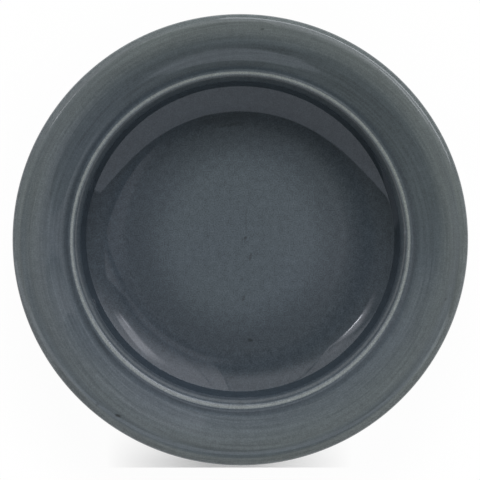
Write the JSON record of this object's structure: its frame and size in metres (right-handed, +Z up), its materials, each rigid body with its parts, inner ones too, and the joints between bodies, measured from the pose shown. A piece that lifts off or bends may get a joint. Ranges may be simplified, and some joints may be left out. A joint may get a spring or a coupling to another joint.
{
  "type": "rimmed soup plate",
  "caption": "Deep round stoneware plate with a wide domed rim, a raised ridge round the well, a dished floor and a turned foot ring; holds soup, pasta or stew.",
  "frame": {"origin": "middle of the plane that the foot ring rests on", "axes": "+Z up out of the well, along the plate's axis of revolution; +X and +Y lie in the table's plane, and +Y is what the picture shows as up"},
  "size_m": [0.24, 0.24, 0.0369],
  "materials": {
    "fired_clay": "matt, unglazed stoneware with fine turning rings",
    "slate_glaze": "satin-gloss slate blue-grey glaze, pale where it runs thin and darker where it gathers"
  },
  "bodies": {
    "root": {"clay_body": "fired_clay", "glaze_coat": "slate_glaze", "foot_recess_glaze": "slate_glaze"}
  },
  "joints": []
}
